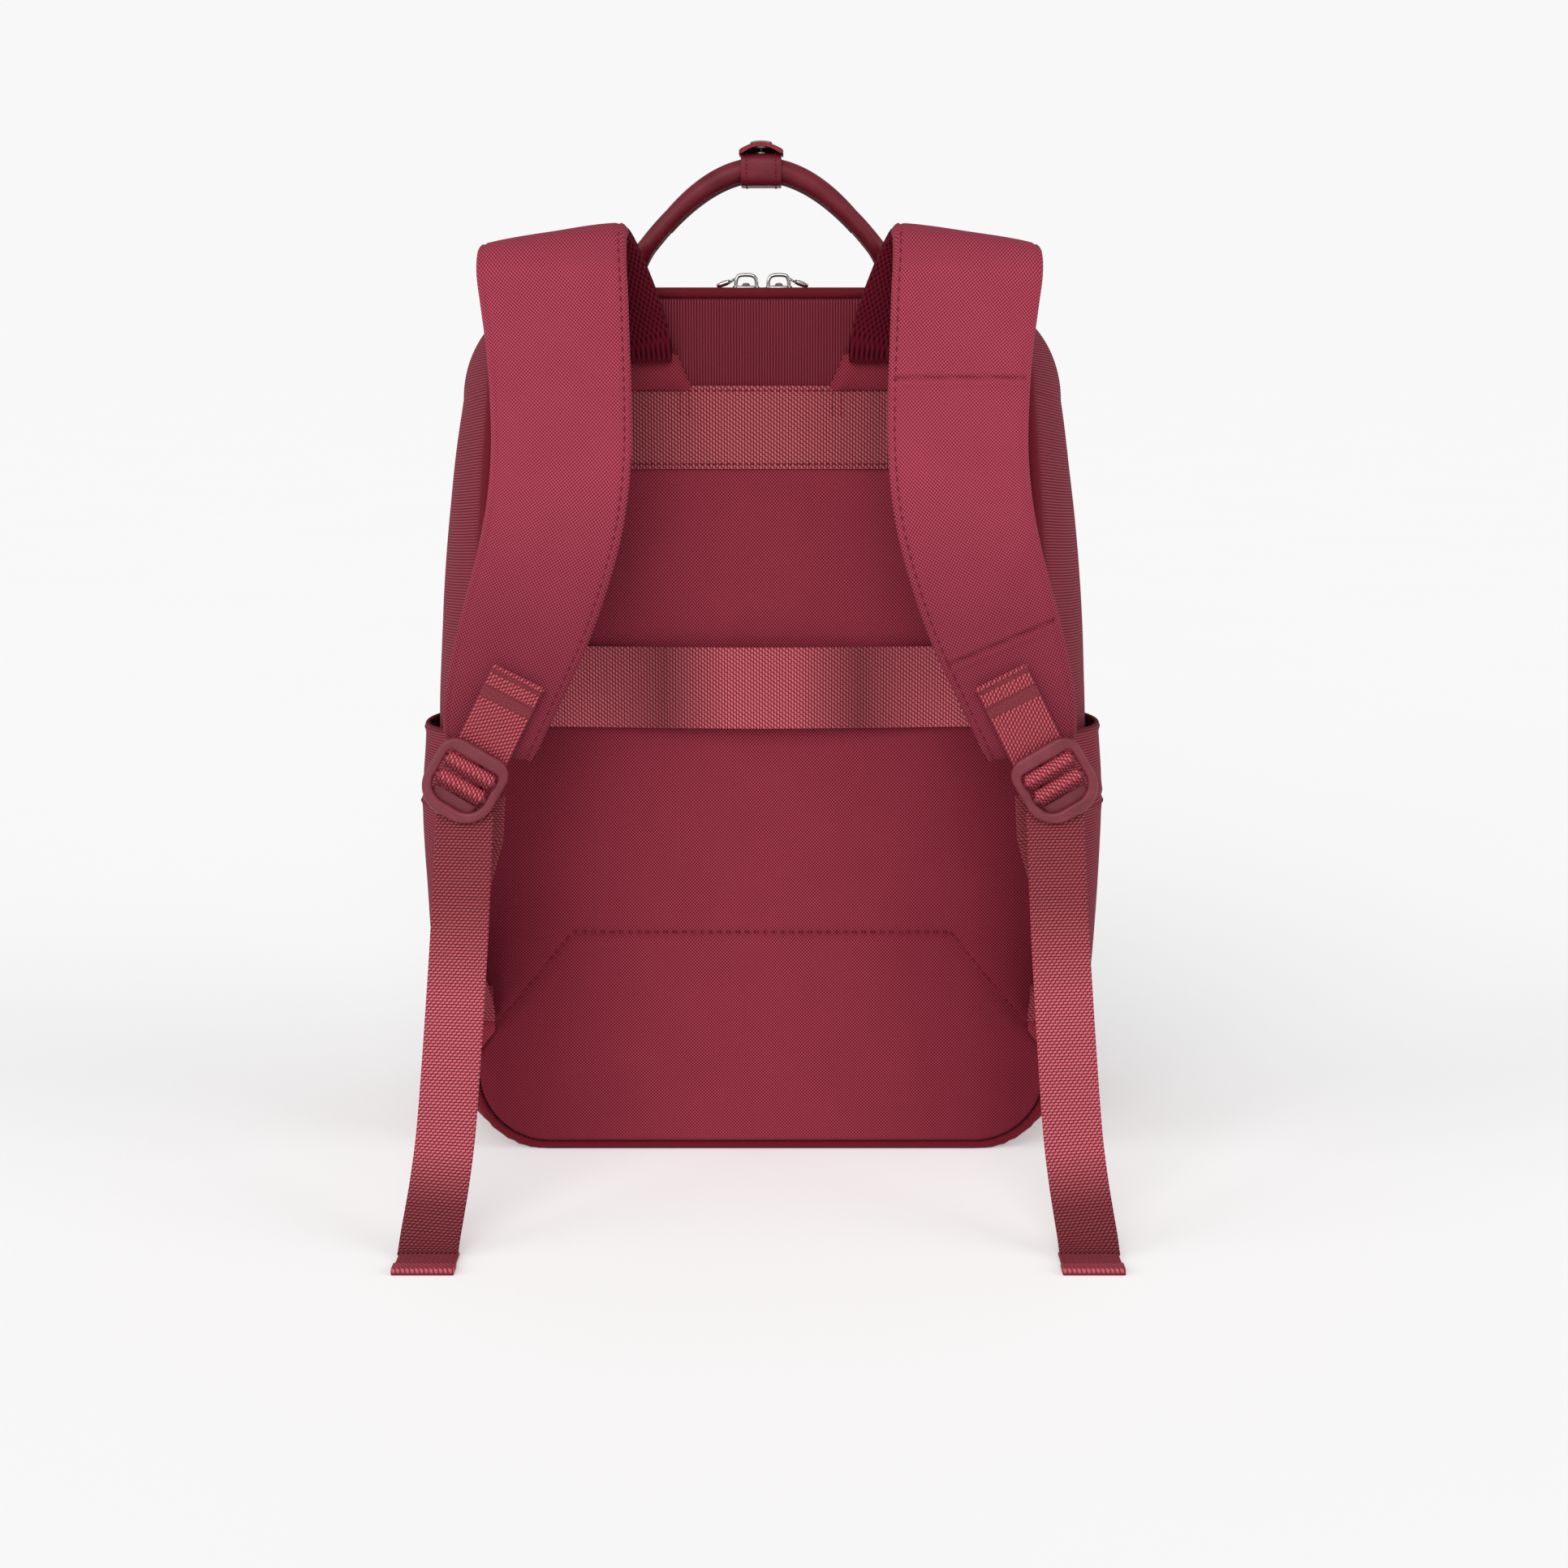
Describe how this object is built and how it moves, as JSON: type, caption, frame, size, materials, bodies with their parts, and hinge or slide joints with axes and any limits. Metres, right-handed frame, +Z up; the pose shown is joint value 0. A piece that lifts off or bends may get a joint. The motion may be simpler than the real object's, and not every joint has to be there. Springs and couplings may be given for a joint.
{
  "type": "travel backpack",
  "caption": "Wine red woven travel backpack with padded shoulder straps, ladder-lock buckles, webbing tails, carry handle, opening front and side pockets.",
  "frame": {"origin": "middle of the footprint, on the floor that the backpack and its webbing tails stand on", "axes": "+Z up, -Y towards the shoulder straps (the wearer's side), +X to the right of someone who looks at the straps"},
  "size_m": [0.3406, 0.3296, 0.4807],
  "materials": {
    "shell_fabric": "matte ribbed polyester",
    "base_fabric": "matte ribbed polyester",
    "zip_tape": "knitted zip tape with coil teeth",
    "strap_fabric": "matte woven polyester",
    "mesh_lining": "open spacer mesh",
    "webbing": "satin herringbone webbing",
    "handle_leather": "semi-gloss",
    "buckle_plastic": "satin moulded",
    "chrome_metal": "polished",
    "divider_lining": "matte",
    "stiffener_plastic": "matte"
  },
  "bodies": {
    "root": {"back_panel": "shell_fabric", "frame_sheet": "stiffener_plastic", "base_panel": "base_fabric", "side_gusset_left": "shell_fabric", "side_gusset_right": "shell_fabric", "top_gusset": "shell_fabric", "lower_front_panel": "base_fabric", "base_board": "stiffener_plastic", "laptop_divider": "divider_lining", "upper_band": "webbing", "trolley_band": "webbing", "zip_tape_rear": "zip_tape", "handle_anchor_left": "handle_leather", "handle_anchor_right": "handle_leather", "side_pocket_left": "shell_fabric", "side_pocket_right": "shell_fabric", "strap_anchor_left": "shell_fabric", "strap_anchor_right": "shell_fabric", "webbing_wing_left": "shell_fabric", "webbing_wing_right": "shell_fabric"},
    "front_cover": {"zip_tape_front": "zip_tape", "cover_gusset": "shell_fabric", "front_panel": "shell_fabric", "front_pocket": "shell_fabric", "front_pocket_zip": "zip_tape"},
    "slider_left": {"zip_slider_left": "chrome_metal"},
    "slider_right": {"zip_slider_right": "chrome_metal"},
    "pull_left": {"zip_pull_left": "chrome_metal", "pull_insert_left": "handle_leather"},
    "pull_right": {"zip_pull_right": "chrome_metal", "pull_insert_right": "handle_leather"},
    "pocket_slider": {"pocket_slider": "chrome_metal"},
    "pocket_pull": {"zip_pull_pocket": "chrome_metal", "pull_insert_pocket": "handle_leather"},
    "top_handle": {"handle_cord_near": "handle_leather", "handle_cord_far": "handle_leather", "handle_wrap": "handle_leather", "snap_stud": "chrome_metal"},
    "snap_flap": {"snap_flap": "handle_leather", "snap_cap": "chrome_metal"},
    "riser_left": {"riser_pad_left": "strap_fabric", "riser_lining_left": "mesh_lining"},
    "strap_left": {"strap_pad_left": "strap_fabric", "strap_lining_left": "mesh_lining", "strap_tab_left": "webbing"},
    "buckle_left": {"ladder_lock_left": "buckle_plastic"},
    "tail_left": {"tail_left": "webbing", "tail_hem_left": "webbing"},
    "lower_webbing_left": {"lower_webbing_left": "webbing"},
    "riser_right": {"riser_pad_right": "strap_fabric", "riser_lining_right": "mesh_lining"},
    "strap_right": {"strap_pad_right": "strap_fabric", "strap_lining_right": "mesh_lining", "strap_tab_right": "webbing"},
    "buckle_right": {"ladder_lock_right": "buckle_plastic"},
    "tail_right": {"tail_right": "webbing", "tail_hem_right": "webbing"},
    "lower_webbing_right": {"lower_webbing_right": "webbing"}
  },
  "joints": [
    {"name": "cover_hinge", "type": "hinge", "parent": "root", "child": "front_cover", "pos_m": [0, 0.154, 0.0429], "axis": [-1, 0, 0], "range_deg": [0, 80]},
    {"name": "handle_tilt", "type": "hinge", "parent": "root", "child": "top_handle", "pos_m": [0, 0.066, 0.4164], "axis": [1, 0, 0], "range_deg": [-60, 60]},
    {"name": "snap_flap_hinge", "type": "hinge", "parent": "top_handle", "child": "snap_flap", "pos_m": [0, 0.0816, 0.4745], "axis": [-1, 0, 0], "range_deg": [0, 120]},
    {"name": "zip_slide_left", "type": "slide", "parent": "root", "child": "slider_left", "axis": [-1, 0, 0], "range_m": [0, 0.07]},
    {"name": "zip_slide_right", "type": "slide", "parent": "root", "child": "slider_right", "axis": [1, 0, 0], "range_m": [0, 0.07]},
    {"name": "pull_swing_left", "type": "hinge", "parent": "slider_left", "child": "pull_left", "pos_m": [-0.015, 0.121, 0.4168], "axis": [0, 1, 0], "range_deg": [0, 110]},
    {"name": "pull_swing_right", "type": "hinge", "parent": "slider_right", "child": "pull_right", "pos_m": [0.015, 0.121, 0.4168], "axis": [0, -1, 0], "range_deg": [0, 110]},
    {"name": "pocket_zip_slide", "type": "slide", "parent": "front_cover", "child": "pocket_slider", "axis": [1, 0, 0], "range_m": [0, 0.17]},
    {"name": "pocket_pull_swing", "type": "hinge", "parent": "pocket_slider", "child": "pocket_pull", "pos_m": [-0.0948, 0.16145, 0.243], "axis": [0, 0, -1], "range_deg": [0, 90]},
    {"name": "strap_lift_left", "type": "hinge", "parent": "root", "child": "riser_left", "pos_m": [0, 0.0045, 0.3815], "axis": [1, 0, 0], "range_deg": [0, 20]},
    {"name": "strap_crest_left", "type": "hinge", "parent": "riser_left", "child": "strap_left", "pos_m": [0, -0.015, 0.44], "axis": [1, 0, 0], "range_deg": [-20, 0]},
    {"name": "webbing_lift_left", "type": "hinge", "parent": "root", "child": "lower_webbing_left", "pos_m": [0, 0.0065, 0.078], "axis": [1, 0, 0], "range_deg": [0, 9.4]},
    {"name": "buckle_tilt_left", "type": "hinge", "parent": "strap_left", "child": "buckle_left", "pos_m": [-0.1214, -0.058, 0.2077], "axis": [-0.859, 0, 0.512], "range_deg": [0, 40]},
    {"name": "tail_swing_left", "type": "hinge", "parent": "buckle_left", "child": "tail_left", "pos_m": [-0.1326, -0.0586, 0.1725], "axis": [-1, 0, 0], "range_deg": [0, 70]},
    {"name": "strap_lift_right", "type": "hinge", "parent": "root", "child": "riser_right", "pos_m": [0, 0.0045, 0.3815], "axis": [1, 0, 0], "range_deg": [0, 20]},
    {"name": "strap_crest_right", "type": "hinge", "parent": "riser_right", "child": "strap_right", "pos_m": [0, -0.015, 0.44], "axis": [1, 0, 0], "range_deg": [-20, 0]},
    {"name": "webbing_lift_right", "type": "hinge", "parent": "root", "child": "lower_webbing_right", "pos_m": [0, 0.0065, 0.078], "axis": [1, 0, 0], "range_deg": [0, 9.4]},
    {"name": "buckle_tilt_right", "type": "hinge", "parent": "strap_right", "child": "buckle_right", "pos_m": [0.1214, -0.058, 0.2077], "axis": [-0.859, 0, -0.512], "range_deg": [0, 40]},
    {"name": "tail_swing_right", "type": "hinge", "parent": "buckle_right", "child": "tail_right", "pos_m": [0.1326, -0.0586, 0.1725], "axis": [-1, 0, 0], "range_deg": [0, 70]}
  ],
  "couplings": [
    {"joint": "strap_crest_left", "follows": "strap_lift_left", "ratio": -1},
    {"joint": "webbing_lift_left", "follows": "strap_lift_left", "ratio": 0.465},
    {"joint": "strap_crest_right", "follows": "strap_lift_right", "ratio": -1},
    {"joint": "webbing_lift_right", "follows": "strap_lift_right", "ratio": 0.465}
  ]
}
